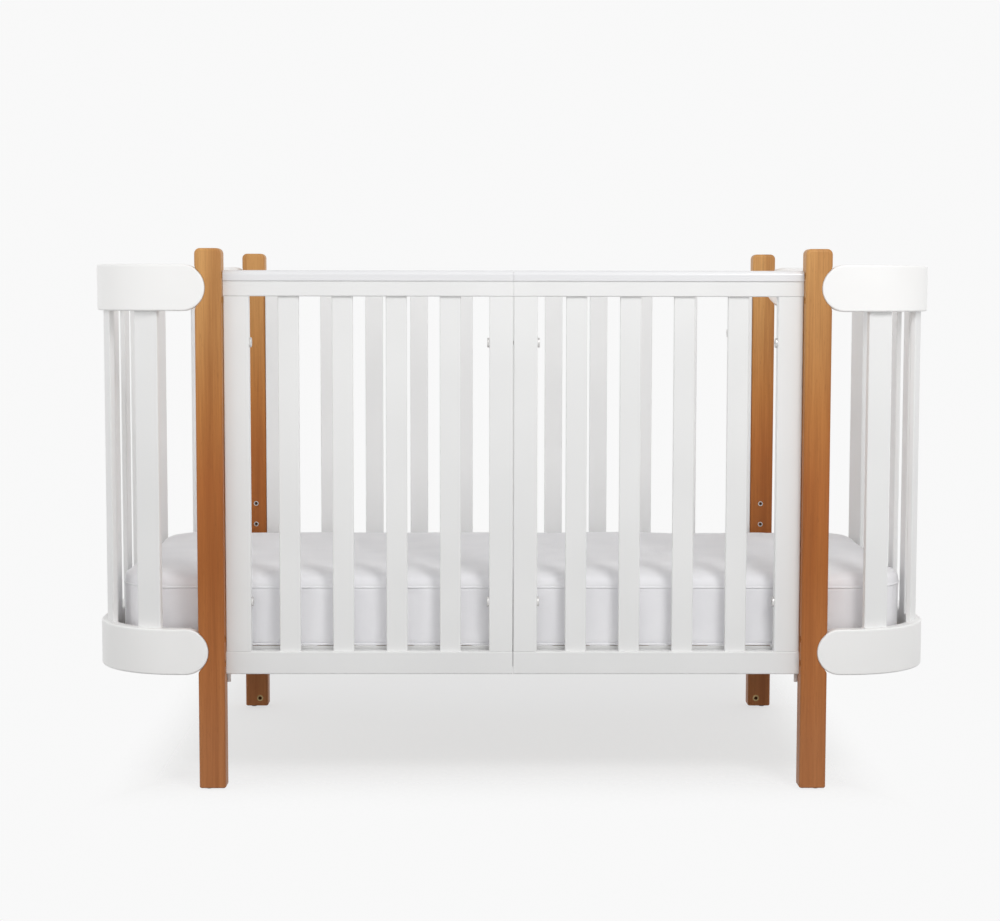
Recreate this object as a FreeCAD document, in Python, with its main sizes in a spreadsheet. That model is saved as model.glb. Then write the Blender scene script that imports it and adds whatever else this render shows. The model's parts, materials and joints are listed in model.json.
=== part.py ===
"""Baby crib: four wooden legs, two bent-wood ends, a bolted front and rear panel, a height-adjustable
slatted base and a mattress.

Millimetres, +Z up, the front faces -Y. The origin is on the floor below the middle of the crib.
"""
import FreeCAD, Part

import Sketcher

import math
import os
import re

Vector = FreeCAD.Vector
Rotation = FreeCAD.Rotation
Placement = FreeCAD.Placement

# ---------------------------------------------------------------- driving sizes, kept in the sheet
SIZES = {
    # whole crib
    "crib_long": 1378,          # over the two bent ends
    "crib_deep": 712,           # over the legs' outer faces
    "crib_high": 880,           # floor to leg tops
    "end_reach": 178.5,         # how far an end stands out past its legs
    # legs
    "leg_wide": 43,
    "leg_deep": 40,
    "leg_round": 5,             # long edges
    "leg_top_round": 9,         # top corners, seen from the front
    "leg_foot_ease": 1.5,
    "glide_dia": 11,
    "glide_high": 4,
    "glide_out": 7.5,           # glide's centre, outwards from the leg's middle
    "glide_round": 1,
    "glide_pin_dia": 3,
    "glide_pin_long": 14,
    # bent ends
    "band_high": 75,
    "band_thick": 20,
    "band_corner": 143.5,       # outer corner radius in plan
    "band_round": 3,
    "band_in": 17,              # how far a rounded band tip reaches into its leg
    "band_gap": 0.3,            # round the tip, in the leg's notch
    "notch_shoulder": 12,       # rounds the notch's mouth over into the leg's side
    "upper_band_drop": 63,      # leg tops to the band's middle
    "lower_band_mid": 228,
    "end_slats": 8,             # per end
    "end_slat_wide": 42,
    "end_slat_thick": 9,
    "end_slat_first": 81,       # along the slats' line, from the leg's outer edge
    "end_slat_housed": 60,      # height of a slat end let into a band
    # front and rear panels
    "panel_thick": 20,
    "panel_gap": 0.3,           # between a panel and the leg beside it
    "panel_drop": 35,           # leg tops to the panel's top
    "panel_seam": 1,            # between the two halves of the front
    "top_rail_drop": 41.8,      # panel's top to the top rail's underside
    "low_rail_low": 188.5,
    "low_rail_high": 37.5,
    "rail_round": 2,
    "outer_stile_wide": 41,
    "inner_stile_wide": 38.5,
    "rear_stile_wide": 44,
    "slat_wide": 34,
    "slat_thick": 10,
    "slat_round": 2,
    "slat_tenon": 12,
    "slat_gap": 0.1,            # each side of a tenon
    "front_slats": 4,           # per half
    "front_end_gap": 46.1,      # between a stile and the slat beside it
    "rear_slats": 9,
    "rear_end_gap": 61,
    # rail covers
    "cover_high": 16.5,
    "cover_wall": 2,
    "cover_crown": 3,           # wall over the rail's top
    "cover_gap": 0.2,
    "cover_round": 8,
    # hardware
    "bolt_dia": 6,
    "bolt_hole_dia": 6.6,
    "thread_gap": 0.05,         # bolt shank to threaded bore, and insert to its hole
    "bolt_short": 0.6,          # from a bolt's end to the bottom of its hole
    "insert_dia": 9,
    "insert_wall": 1.2,         # wood between a level's insert and the band's notch
    "insert_apart": 2.4,        # wood between a leg's inserts that cross
    "foot_insert_dia": 12,
    "foot_insert_bore": 6.8,
    "foot_insert_up": 19,
    "foot_insert_in": 4.5,      # from the line of the level inserts towards the crib's middle
    "low_bolt_rise": 81,        # bottom rail to the panel's lower bolts
    "up_bolt_drop": 74.2,       # top rail to the upper ones
    "panel_head_dia": 16,
    "panel_head_thick": 3.5,
    "socket_size": 4,           # hexagon key, across flats
    "socket_deep": 2,
    "sleeve_dia": 9,
    "sleeve_short": 4.5,        # end of a sleeve to the seam
    "centre_bolt_short": 8,     # end of a centre bolt to the face it runs towards
    "band_bolt_rise": 20,       # bolts above and below a band's middle
    "band_bolt_past": 4,        # past the barrel nut's middle
    "band_head_dia": 10,
    "band_head_thick": 6,
    "counterbore_dia": 12,
    "counterbore_deep": 8,
    "barrel_dia": 10,
    "barrel_past": 4,           # barrel nut's length beyond the bolt's axis
    "barrel_set": 22,           # barrel nut centre behind the band's tip at the bolt's height
    # base
    "base_rise": 40,            # lowest insert in use to the base's top
    "base_side_gap": 8,         # base edge to a panel's inner face
    "base_end_gap": 14,         # base end to a band's inner face
    "base_board": 12,           # thickness of slats and end boards
    "base_rail_wide": 22,
    "base_rail_high": 22,
    "base_rail_end": 65,        # rail ends short of the base's ends
    "lip_wide": 5,              # of a rail's outer edge, which rises past the slats' ends
    "lip_gap": 0.3,             # from the lip to the slats and the end boards
    "base_slats": 11,
    "base_slat_wide": 60,
    "base_slat_round": 2,
    "end_board_corner": 95,
    "end_board_edge": 5,        # straight part beside a corner
    "vent_dia": 26,
    "vents": 5,
    "vent_pitch": 80,
    "level_low": 190,           # lowest insert
    "level_pair": 40,           # the two inserts of one level
    "level_step": 85,
    "levels": 3,
    "base_bolt_head_dia": 10.5,
    "base_bolt_head_thick": 3.3,
    "bracket_wide": 50,
    "bracket_thick": 3,
    "bracket_gap": 0.3,         # to the leg and to the bolt heads
    "bracket_foot": 18,         # below the lowest insert
    "bracket_lip": 13,          # above the base's top
    "bracket_flange": 26,
    "bracket_notch": 14,        # in the flange, so the bolt heads pass
    "screw_dia": 4,
    "screw_long": 17,
    "screw_head_dia": 8,
    "screw_head_thick": 2.2,
    "screw_apart": 40,
    "screw_gap": 0.1,
    # mattress
    "mattress_high": 119.7,
    "mattress_side_gap": 1.5,   # narrower than the base, each side
    "mattress_end_gap": 0,
    "mattress_corner": 98,
    "mattress_round": 14,
    "mattress_lay": 0.3,        # between base and cover
    "sheet_thick": 2,
    "sheet_gap": 0.3,
    "sheet_hem": 70,            # turned in under the mattress
}
FOLLOWS = {                      # what comes from the sizes, in the same sheet
    "leg_span": "crib_long - 2 * end_reach",                    # over the legs' outer edges
    "upper_band_mid": "crib_high - upper_band_drop",
    "panel_top": "crib_high - panel_drop",
    "top_rail_low": "panel_top - top_rail_drop",
    "cover_low": "panel_top - cover_high",
    "panel_end": "leg_span / 2 - leg_wide - panel_gap",         # half length of a panel
    "front_bay": "panel_end - outer_stile_wide - inner_stile_wide - panel_seam / 2",
    "front_slat_pitch": "(front_bay - 2 * front_end_gap - slat_wide) / (front_slats - 1)",
    "rear_bay": "2 * (panel_end - rear_stile_wide)",
    "rear_slat_pitch": "(rear_bay - 2 * rear_end_gap - slat_wide) / (rear_slats - 1)",
    "panel_bolt_low": "low_rail_low + low_rail_high + low_bolt_rise",
    "panel_bolt_up": "top_rail_low - up_bolt_drop",
    "insert_long":
        "leg_wide - band_in - band_gap - insert_wall - insert_dia - 2 * thread_gap - insert_apart",
    "sleeve_long": "inner_stile_wide - sleeve_short",
    "tip_hollow": "band_high / 2 - sqrt((band_high / 2)^2 - band_bolt_rise^2)",     # of a tip, at its bolts
    "band_bolt_long": "leg_wide - counterbore_deep - band_in + tip_hollow + barrel_set + band_bolt_past",
    "barrel_long": "band_thick / 2 + barrel_past",
    "base_top": "level_low + base_rise",
    "base_half": "crib_long / 2 - band_thick - base_end_gap",   # half length of the base
    "end_board_wide": "end_board_corner + end_board_edge",
    "base_slat_pitch": "(2 * (base_half - end_board_wide) + base_slat_wide) / (base_slats + 1)",
    "bracket_low": "level_low - bracket_foot",
    "bracket_top": "base_top + bracket_lip",
}
OVER = 2.0                      # how far a cutting tool runs past the face it opens

doc = FreeCAD.newDocument("crib")
sheet = doc.addObject("Spreadsheet::Sheet", "Sizes")
cells = {**SIZES, **{name: "=" + rule for name, rule in FOLLOWS.items()}}
for row, (name, value) in enumerate(cells.items(), 1):
    sheet.set(f"A{row}", name)
    sheet.set(f"B{row}", str(value))
    sheet.setAlias(f"B{row}", name)
doc.recompute()


def size(name):
    """A driving size, read back from the sheet."""
    return float(sheet.get(name))


def tie(thing, field, rule):
    """Bind a property to the sheet. Words of the rule that name a cell get the sheet's prefix."""
    bound = re.sub(r"[a-z_]+", lambda word: f"Sizes.{word[0]}" if word[0] in cells else word[0], rule)
    thing.setExpression(field, bound)


# ---------------------------------------------------------------- places that several pieces share
LEG_X = "(leg_span / 2 - leg_wide / 2)"
LEG_Y = "(crib_deep / 2 - leg_deep / 2)"
TIP_X = "(leg_span / 2 - band_in)"                              # tip of a band
LEVEL_X = f"({TIP_X} - band_gap - insert_wall - insert_dia / 2 - thread_gap)"
INNER_Y = "(crib_deep / 2 - leg_deep)"                          # legs' and panels' inner faces
PANEL_Y = f"({INNER_Y} + panel_thick / 2)"
STILE_HIGH = "(top_rail_low - low_rail_low - low_rail_high)"
TOP_RAIL_HIGH = "(panel_top - cover_crown - cover_gap - top_rail_low)"
BAND_BOLT_Y = "(crib_deep / 2 - band_thick / 2)"
BASE_Y = f"({INNER_Y} - base_side_gap)"                         # half width of the base
PLATE_Y = f"({INNER_Y} - bracket_gap - bracket_thick)"          # inner face of a bracket's plate
RAIL_LOW = "(base_top - base_board - base_rail_high)"
BARREL_X = f"({TIP_X} + tip_hollow + barrel_set)"

# Rotations that turn +Z to a direction
AIM = {
    "+X": Rotation(Vector(0, 1, 0), 90),
    "-X": Rotation(Vector(0, 1, 0), -90),
    "+Y": Rotation(Vector(1, 0, 0), -90),
    "-Y": Rotation(Vector(1, 0, 0), 90),
    "+Z": Rotation(),
}


def signed(sign, rule):
    return f"{sign} * ({rule})"


def aim(sign, letter):
    """Name of the direction along an axis, + or -."""
    return ("+" if sign > 0 else "-") + letter


# ---------------------------------------------------------------- small builders
parts = []                      # objects that are written out, one per node


def new_body(label, at=("0", "0", "0"), keep=True):
    """A body whose origin is at the given place; keep=False for one that only serves as a pattern."""
    body = doc.addObject("PartDesign::Body", label)
    body.Label = label
    for letter, rule in zip("xyz", at):
        tie(body, "Placement.Base." + letter, rule)
    if keep:
        parts.append(body)
    return body


def block(body, kind, name, middle, sides):
    """Add ("Additive") or cut ("Subtractive") a box about its middle."""
    box = body.newObject(f"PartDesign::{kind}Box", name)
    for field, letter, centre, side in zip(("Length", "Width", "Height"), "xyz", middle, sides):
        tie(box, field, side)
        tie(box, "Placement.Base." + letter, f"{centre} - ({side}) / 2")
    return box


def rod(body, kind, name, foot, direction, dia, long):
    """Add or cut a cylinder that starts at its foot and runs in a direction."""
    cylinder = body.newObject(f"PartDesign::{kind}Cylinder", name)
    tie(cylinder, "Radius", f"({dia}) / 2")
    tie(cylinder, "Height", long)
    cylinder.Placement = Placement(Vector(), AIM[direction])
    for letter, rule in zip("xyz", foot):
        tie(cylinder, "Placement.Base." + letter, rule)
    return cylinder


def bore(body, name, mouth, direction, dia, deep):
    """Cut a round hole of a given depth; the tool starts outside the mouth."""
    letter, sign = direction[1], direction[0]
    index = "XYZ".index(letter)
    start = list(mouth)
    start[index] = f"{mouth[index]} {'-' if sign == '+' else '+'} {OVER}"
    return rod(body, "Subtractive", name, start, direction, dia, f"({deep}) + {OVER}")


def edges_of(shape, wanted):
    return [f"Edge{n}" for n, edge in enumerate(shape.Edges, 1) if wanted(edge)]


def ease(body, name, rule, wanted, kind="Fillet"):
    """Fillet or chamfer the edges of the body so far that wanted(edge) picks."""
    doc.recompute()
    base = body.Tip
    feature = body.newObject(f"PartDesign::{kind}", name)
    feature.Base = (base, edges_of(base.Shape, wanted))
    tie(feature, "Radius" if kind == "Fillet" else "Size", rule)
    return feature


def runs_along(edge, axis):
    """True for a straight edge parallel to an axis."""
    start, end = edge.Vertexes[0].Point, edge.Vertexes[-1].Point
    span = end - start
    if edge.Curve.TypeId != "Part::GeomLine" or span.Length < 1e-6:
        return False
    return abs(span.dot(axis)) > 0.999 * span.Length


X, Y, Z = Vector(1, 0, 0), Vector(0, 1, 0), Vector(0, 0, 1)


def flat_at(edge, letter, value):
    """True where the whole edge has the same coordinate, equal to value."""
    low = getattr(edge.BoundBox, letter + "Min")
    high = getattr(edge.BoundBox, letter + "Max")
    return abs(low - value) < 1e-4 and abs(high - value) < 1e-4


def group(label, pattern, places):
    """One node of several equal solids: the pattern's shape at each place."""
    doc.recompute()
    feature = doc.addObject("Part::Feature", label)
    feature.Label = label
    feature.Shape = Part.makeCompound([pattern.Shape.transformed(p.toMatrix()) for p in places])
    parts.append(feature)
    return feature


SIDES = (("left", -1), ("right", 1))
FACES = (("front", -1), ("rear", 1))
CORNERS = [(f"{face}_{side}", sx, sy) for face, sy in FACES for side, sx in SIDES]
LEVEL_HEIGHTS = [f"level_low + {step} * level_step + {upper} * level_pair"
                 for step in range(int(size("levels"))) for upper in (0, 1)]


# ---------------------------------------------------------------- legs
def cut_notch(leg, name, out, mid):
    """Cut the notch of a band tip through a leg, seen from the front: a round bay in the side that faces
    out, whose mouth is rounded over into that side."""
    side, shoulder = size("leg_wide") / 2, size("notch_shoulder")
    radius = size("band_high") / 2 + size("band_gap")
    middle = side + size("band_high") / 2 - size("band_in")
    across = middle - side + shoulder
    rise = math.sqrt((radius + shoulder)**2 - across**2)
    turn = math.atan2(rise, across)
    height = size(mid)

    outline = leg.newObject("Sketcher::SketchObject", f"{name}_outline")
    plane = next(face for face in leg.Origin.OriginFeatures if face.Role == "XZ_Plane")
    outline.AttachmentSupport = [(plane, "")]
    outline.MapMode = "FlatFace"

    def arc(x, z, arc_radius, start, end):
        if out < 0:
            x, start, end = -x, math.pi - end, math.pi - start
        circle = Part.Circle(Vector(x, z, 0), Z, arc_radius)
        outline.addGeometry(Part.ArcOfCircle(circle, start, end))

    def line(start, end):
        outline.addGeometry(Part.LineSegment(*(Vector(out * x, z, 0) for x, z in (start, end))))

    arc(middle, height, radius, math.pi - turn, math.pi + turn)                     # 0 bay
    arc(side - shoulder, height + rise, shoulder, -turn, 0)                         # 1 upper shoulder
    arc(side - shoulder, height - rise, shoulder, 0, turn)                          # 2 lower shoulder
    line((side, height + rise), (side + OVER, height + rise))                       # 3
    line((side + OVER, height + rise), (side + OVER, height - rise))                # 4
    line((side + OVER, height - rise), (side, height - rise))                       # 5
    first, last = (1, 2) if out > 0 else (2, 1)                 # an arc's two ends, in that order
    centre, origin = 3, (-1, 1)
    rules = [("Tangent", 0, first, 1, first), ("Tangent", 0, last, 2, last), ("Equal", 1, 2),
             ("Coincident", 1, last, 3, 1), ("Coincident", 3, 2, 4, 1), ("Coincident", 4, 2, 5, 1),
             ("Coincident", 5, 2, 2, first), ("Horizontal", 3), ("Vertical", 4), ("Horizontal", 5),
             ("Horizontal", 1, centre, 1, last), ("Horizontal", 2, centre, 2, first)]
    outline.addConstraint([Sketcher.Constraint(*rule) for rule in rules])
    bay_x = "leg_wide / 2 + band_high / 2 - band_in"
    for kind, where, value, rule in (
            ("Radius", (0,), radius, "band_high / 2 + band_gap"),
            ("Radius", (1,), shoulder, "notch_shoulder"),
            ("DistanceX", (*origin, 0, centre), out * middle, signed(out, bay_x)),
            ("DistanceY", (*origin, 0, centre), height, mid),
            ("DistanceX", (*origin, 1, last), out * side, signed(out, "leg_wide / 2")),
            ("DistanceX", (*origin, 2, first), out * side, signed(out, "leg_wide / 2")),
            ("DistanceX", (*origin, 4, 1), out * (side + OVER), signed(out, f"leg_wide / 2 + {OVER}"))):
        number = outline.addConstraint(Sketcher.Constraint(kind, *where, value))
        tie(outline, f"Constraints[{number}]", rule)
    notch = leg.newObject("PartDesign::Pocket", name)
    notch.Profile = outline
    notch.Midplane = True
    tie(notch, "Length", f"leg_deep + 2 * {OVER}")


def make_leg(corner, sx, sy):
    """A leg with a notch for each band tip, and the holes for inserts and bolts."""
    leg = new_body(f"leg_{corner}", (signed(sx, LEG_X), signed(sy, LEG_Y), "0"))
    out, inward = sx, -sy
    high = "(crib_high - glide_high)"
    block(leg, "Additive", "post", ("0", "0", f"glide_high + ({high}) / 2"), ("leg_wide", "leg_deep", high))
    top = size("crib_high")
    foot = size("glide_high")
    half_deep = size("leg_deep") / 2
    ease(leg, "top_corners", "leg_top_round", lambda e: runs_along(e, Y) and flat_at(e, "Z", top))
    ease(leg, "long_edges", "leg_round",
         lambda e: any(flat_at(e, "Y", s * half_deep) for s in (-1, 1)) and not flat_at(e, "Z", foot))
    ease(leg, "foot_edges", "leg_foot_ease", lambda e: flat_at(e, "Z", foot), "Chamfer")
    side_x = signed(-out, "leg_wide / 2")                       # the side that faces the panel
    face_y = signed(inward, "leg_deep / 2")                     # the face that looks into the crib
    for where in ("upper", "lower"):
        mid = f"{where}_band_mid"
        cut_notch(leg, f"{where}_notch", out, mid)
        for sign in (-1, 1):
            height = f"{mid} + {sign} * band_bolt_rise"
            mouth = (side_x, signed(-inward, "leg_deep / 2 - band_thick / 2"), height)
            bore(leg, "band_bolt_hole", mouth, aim(out, "X"), "bolt_hole_dia", "leg_wide")
            bore(leg, "band_bolt_head_hole", mouth, aim(out, "X"), "counterbore_dia", "counterbore_deep")
    level_x = f"{LEVEL_X} - {LEG_X}"                             # outwards from the leg's middle
    for height in LEVEL_HEIGHTS:
        bore(leg, "level_hole", (signed(out, level_x), face_y, height), aim(-inward, "Y"),
             "insert_dia + 2 * thread_gap", "insert_long")
    bore(leg, "foot_insert_hole", (signed(out, f"{level_x} - foot_insert_in"), face_y, "foot_insert_up"),
         aim(-inward, "Y"), "foot_insert_dia + 2 * thread_gap", "insert_long")
    for height in ("panel_bolt_low", "panel_bolt_up"):
        bore(leg, "panel_insert_hole", (side_x, signed(inward, "leg_deep / 2 - panel_thick / 2"), height),
             aim(out, "X"), "insert_dia + 2 * thread_gap", "insert_long")
    bore(leg, "glide_pin_hole", (signed(out, "glide_out"), "0", "glide_high"), "+Z",
         "glide_pin_dia + 2 * thread_gap", "glide_pin_long")


for corner, sx, sy in CORNERS:
    make_leg(corner, sx, sy)


# ---------------------------------------------------------------- bent ends
def end_slat_places(side):
    """Place of each slat of one end: on a line inside the band, square to it, bottom at z = 0.

    The line runs straight back from the front leg's outer edge, round the two corners and on to the
    rear leg; side is -1 for the left end and 1 for the right.
    """
    inset = size("band_thick") - size("end_slat_thick") / 2
    corner_x = size("crib_long") / 2 - size("band_corner")
    corner_y = size("crib_deep") / 2 - size("band_corner")
    radius = size("band_corner") - inset
    start = corner_x - size("leg_span") / 2
    quarter = radius * math.pi / 2
    total = 2 * start + 2 * quarter + 2 * corner_y
    count = int(size("end_slats"))
    first = size("end_slat_first")
    places = []
    for n in range(count):
        along = first + n * (total - 2 * first) / (count - 1)
        half = min(along, total - along)                        # the rear half mirrors the front half
        turn = min(max((half - start) / radius, 0), math.pi / 2)
        x = corner_x + radius * math.sin(turn) - max(start - half, 0)
        y = -corner_y - radius * math.cos(turn) + max(half - start - quarter, 0)
        if along > half:
            turn, y = math.pi - turn, -y
        places.append(Placement(Vector(side * x, y, 0), Rotation(side * math.degrees(turn), 0, 0)))
    return places


def make_band(side_name, side, where):
    """A U-shaped band with round tips, bolted to the legs, with a housing for each slat end."""
    mid = f"{where}_band_mid"
    blank = new_body(f"band_{side_name}_{where}_blank", ("0", "0", mid), keep=False)
    tip_mid = f"({TIP_X} + band_high / 2)"
    reach = f"(crib_long / 2 - {tip_mid})"
    block(blank, "Additive", "slab", (signed(side, f"{tip_mid} + {reach} / 2"), "0", "0"),
          (reach, "crib_deep", "band_high"))
    rod(blank, "Additive", "tips", (signed(side, tip_mid), "-crib_deep / 2", "0"), "+Y",
        "band_high", "crib_deep")
    hollow = f"(crib_long / 2 - band_thick - {TIP_X} + {OVER})"
    block(blank, "Subtractive", "inside",
          (signed(side, f"crib_long / 2 - band_thick - {hollow} / 2"), "0", "0"),
          (hollow, "crib_deep - 2 * band_thick", "band_high * 2"))
    far = side * size("crib_long") / 2
    near = side * (size("crib_long") / 2 - size("band_thick"))
    ease(blank, "inner_corners", "band_corner - band_thick",
         lambda e: runs_along(e, Z) and flat_at(e, "X", near))
    ease(blank, "outer_corners", "band_corner", lambda e: runs_along(e, Z) and flat_at(e, "X", far))
    thick = size("band_thick")
    ease(blank, "long_edges", "band_round",
         lambda e: not runs_along(e, Z) and not (runs_along(e, Y) and abs(e.Length - thick) < 1e-4))
    for sy in (-1, 1):
        for sign in (-1, 1):
            rise = f"{sign} * band_bolt_rise"
            bore(blank, "bolt_hole", (signed(side, TIP_X), signed(sy, BAND_BOLT_Y), rise),
                 aim(side, "X"), "bolt_hole_dia", "tip_hollow + barrel_set + barrel_dia")
            bore(blank, "barrel_hole",
                 (signed(side, BARREL_X), signed(sy, "crib_deep / 2 - band_thick"), rise),
                 aim(sy, "Y"), "barrel_dia + 2 * thread_gap", "barrel_long")
    housings = []
    low = "-band_high / 2" if where == "upper" else "band_high / 2 - end_slat_housed"
    for n, place in enumerate(end_slat_places(side), 1):
        housing = doc.addObject("Part::Box", f"housing_{side_name}_{where}_{n}")
        tie(housing, "Length", "end_slat_wide + 2 * slat_gap")
        tie(housing, "Width", f"end_slat_thick + {OVER}")
        tie(housing, "Height", f"end_slat_housed + {OVER}")
        shift = Vector(-size("end_slat_wide") / 2 - size("slat_gap"), -size("end_slat_thick") / 2, 0)
        housing.Placement = place * Placement(shift, Rotation())
        tie(housing, "Placement.Base.z", f"{mid} + {low} - {OVER if where == 'upper' else 0}")
        housings.append(housing)
    tools = doc.addObject("Part::Compound", f"housings_{side_name}_{where}")
    tools.Links = housings
    band = doc.addObject("Part::Cut", f"band_{side_name}_{where}")
    band.Base, band.Tool = blank, tools
    band.Label = f"band_{side_name}_{where}"
    parts.append(band)


def make_end_slats(side_name, side):
    slat = new_body(f"end_slat_{side_name}", keep=False)
    low = "(lower_band_mid + band_high / 2 - end_slat_housed)"
    top = "(upper_band_mid - band_high / 2 + end_slat_housed - slat_gap)"
    block(slat, "Additive", "strip", ("0", "0", f"({low} + {top}) / 2"),
          ("end_slat_wide", "end_slat_thick", f"{top} - {low}"))
    ease(slat, "long_edges", "slat_round", lambda e: runs_along(e, Z))
    group(f"end_slats_{side_name}", slat, end_slat_places(side))


for side_name, side in SIDES:
    for where in ("upper", "lower"):
        make_band(side_name, side, where)
    make_end_slats(side_name, side)


# ---------------------------------------------------------------- front and rear panels
def make_rail(label, middle_x, sy, low, high, long, slat_xs, mortise_up):
    """A rail along X with a mortise for each slat, in its top (mortise_up) or in its underside."""
    rail = new_body(label, (middle_x, signed(sy, PANEL_Y), low))
    block(rail, "Additive", "bar", ("0", "0", f"({high}) / 2"), (long, "panel_thick", high))
    ease(rail, "long_edges", "rail_round", lambda e: runs_along(e, X))
    deep = "(slat_tenon + 2 * slat_gap)"
    mid = f"{high} - {deep} / 2 + {OVER} / 2" if mortise_up else f"{deep} / 2 - {OVER} / 2"
    for x in slat_xs:
        block(rail, "Subtractive", "mortise", (f"({x}) - ({middle_x})", "0", mid),
              ("slat_wide + 2 * slat_gap", "slat_thick + 2 * slat_gap", f"{deep} + {OVER}"))
    return rail


def make_slat(label, x, sy):
    low = "(low_rail_low + low_rail_high - slat_tenon)"
    slat = new_body(label, (x, signed(sy, PANEL_Y), low))
    high = "top_rail_low - low_rail_low - low_rail_high + 2 * slat_tenon"
    block(slat, "Additive", "strip", ("0", "0", f"({high}) / 2"), ("slat_wide", "slat_thick", high))
    ease(slat, "long_edges", "slat_round", lambda e: runs_along(e, Z))


def make_stile(label, middle_x, sy, wide):
    """An upright between the rails, with a clearance hole for each panel bolt."""
    stile = new_body(label, (middle_x, signed(sy, PANEL_Y), "low_rail_low + low_rail_high"))
    block(stile, "Additive", "post", ("0", "0", f"{STILE_HIGH} / 2"), (wide, "panel_thick", STILE_HIGH))
    ease(stile, "long_edges", "rail_round", lambda e: runs_along(e, Z))
    for height in ("panel_bolt_low", "panel_bolt_up"):
        bore(stile, "bolt_hole", (f"-({wide}) / 2", "0", f"{height} - low_rail_low - low_rail_high"), "+X",
             "bolt_hole_dia", f"{wide} + {OVER}")
    return stile


def make_cover(label, middle_x, sy, long):
    """A cap over the top rail: round on top, open below."""
    cover = new_body(label, (middle_x, signed(sy, PANEL_Y), "cover_low"))
    wide = "(panel_thick + 2 * cover_gap + 2 * cover_wall)"
    high = "(panel_top - cover_low)"
    block(cover, "Additive", "cap", ("0", "0", f"{high} / 2"), (long, wide, high))
    top = size("panel_top") - size("cover_low")
    ease(cover, "crown", "cover_round", lambda e: runs_along(e, X) and flat_at(e, "Z", top))
    inside = f"({high} - cover_crown + {OVER})"
    block(cover, "Subtractive", "channel", ("0", "0", f"{high} - cover_crown - {inside} / 2"),
          (f"{long} + {OVER}", "panel_thick + 2 * cover_gap", inside))


def make_front_half(side_name, side):
    """One half of the front: two rails, two stiles, the slats between them and the rail's cover."""
    long = "(panel_end - panel_seam / 2)"
    middle = signed(side, f"panel_seam / 2 + {long} / 2")
    inner = "(panel_seam / 2 + inner_stile_wide)"
    bay = f"(({inner} + panel_end - outer_stile_wide) / 2)"
    count = int(size("front_slats"))
    xs = [signed(side, f"{bay} + {n - (count - 1) / 2} * front_slat_pitch") for n in range(count)]
    name = f"front_{side_name}"
    make_rail(f"{name}_top_rail", middle, -1, "top_rail_low", TOP_RAIL_HIGH, long, xs, False)
    make_rail(f"{name}_bottom_rail", middle, -1, "low_rail_low", "low_rail_high", long, xs, True)
    make_stile(f"{name}_outer_stile", signed(side, "panel_end - outer_stile_wide / 2"), -1,
               "outer_stile_wide")
    inner_stile = make_stile(f"{name}_inner_stile", signed(side, "panel_seam / 2 + inner_stile_wide / 2"),
                             -1, "inner_stile_wide")
    if side > 0:
        for height in ("panel_bolt_low", "panel_bolt_up"):
            bore(inner_stile, "sleeve_hole", ("inner_stile_wide / 2", "0",
                                              f"{height} - low_rail_low - low_rail_high"),
                 "-X", "sleeve_dia + 4 * thread_gap", "sleeve_long + 1")
    for n, x in enumerate(xs, 1):
        make_slat(f"{name}_slat_{n}", x, -1)
    make_cover(f"{name}_rail_cover", middle, -1, long)


def make_rear():
    """The rear panel, in one piece from leg to leg."""
    count = int(size("rear_slats"))
    xs = [f"{n - (count - 1) / 2} * rear_slat_pitch" for n in range(count)]
    long = "(2 * panel_end)"
    make_rail("rear_top_rail", "0", 1, "top_rail_low", TOP_RAIL_HIGH, long, xs, False)
    make_rail("rear_bottom_rail", "0", 1, "low_rail_low", "low_rail_high", long, xs, True)
    for side_name, side in SIDES:
        make_stile(f"rear_{side_name}_stile", signed(side, "panel_end - rear_stile_wide / 2"), 1,
                   "rear_stile_wide")
    for n, x in enumerate(xs, 1):
        make_slat(f"rear_slat_{n}", x, 1)
    make_cover("rear_rail_cover", "0", 1, long)


for side_name, side in SIDES:
    make_front_half(side_name, side)
make_rear()


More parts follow.
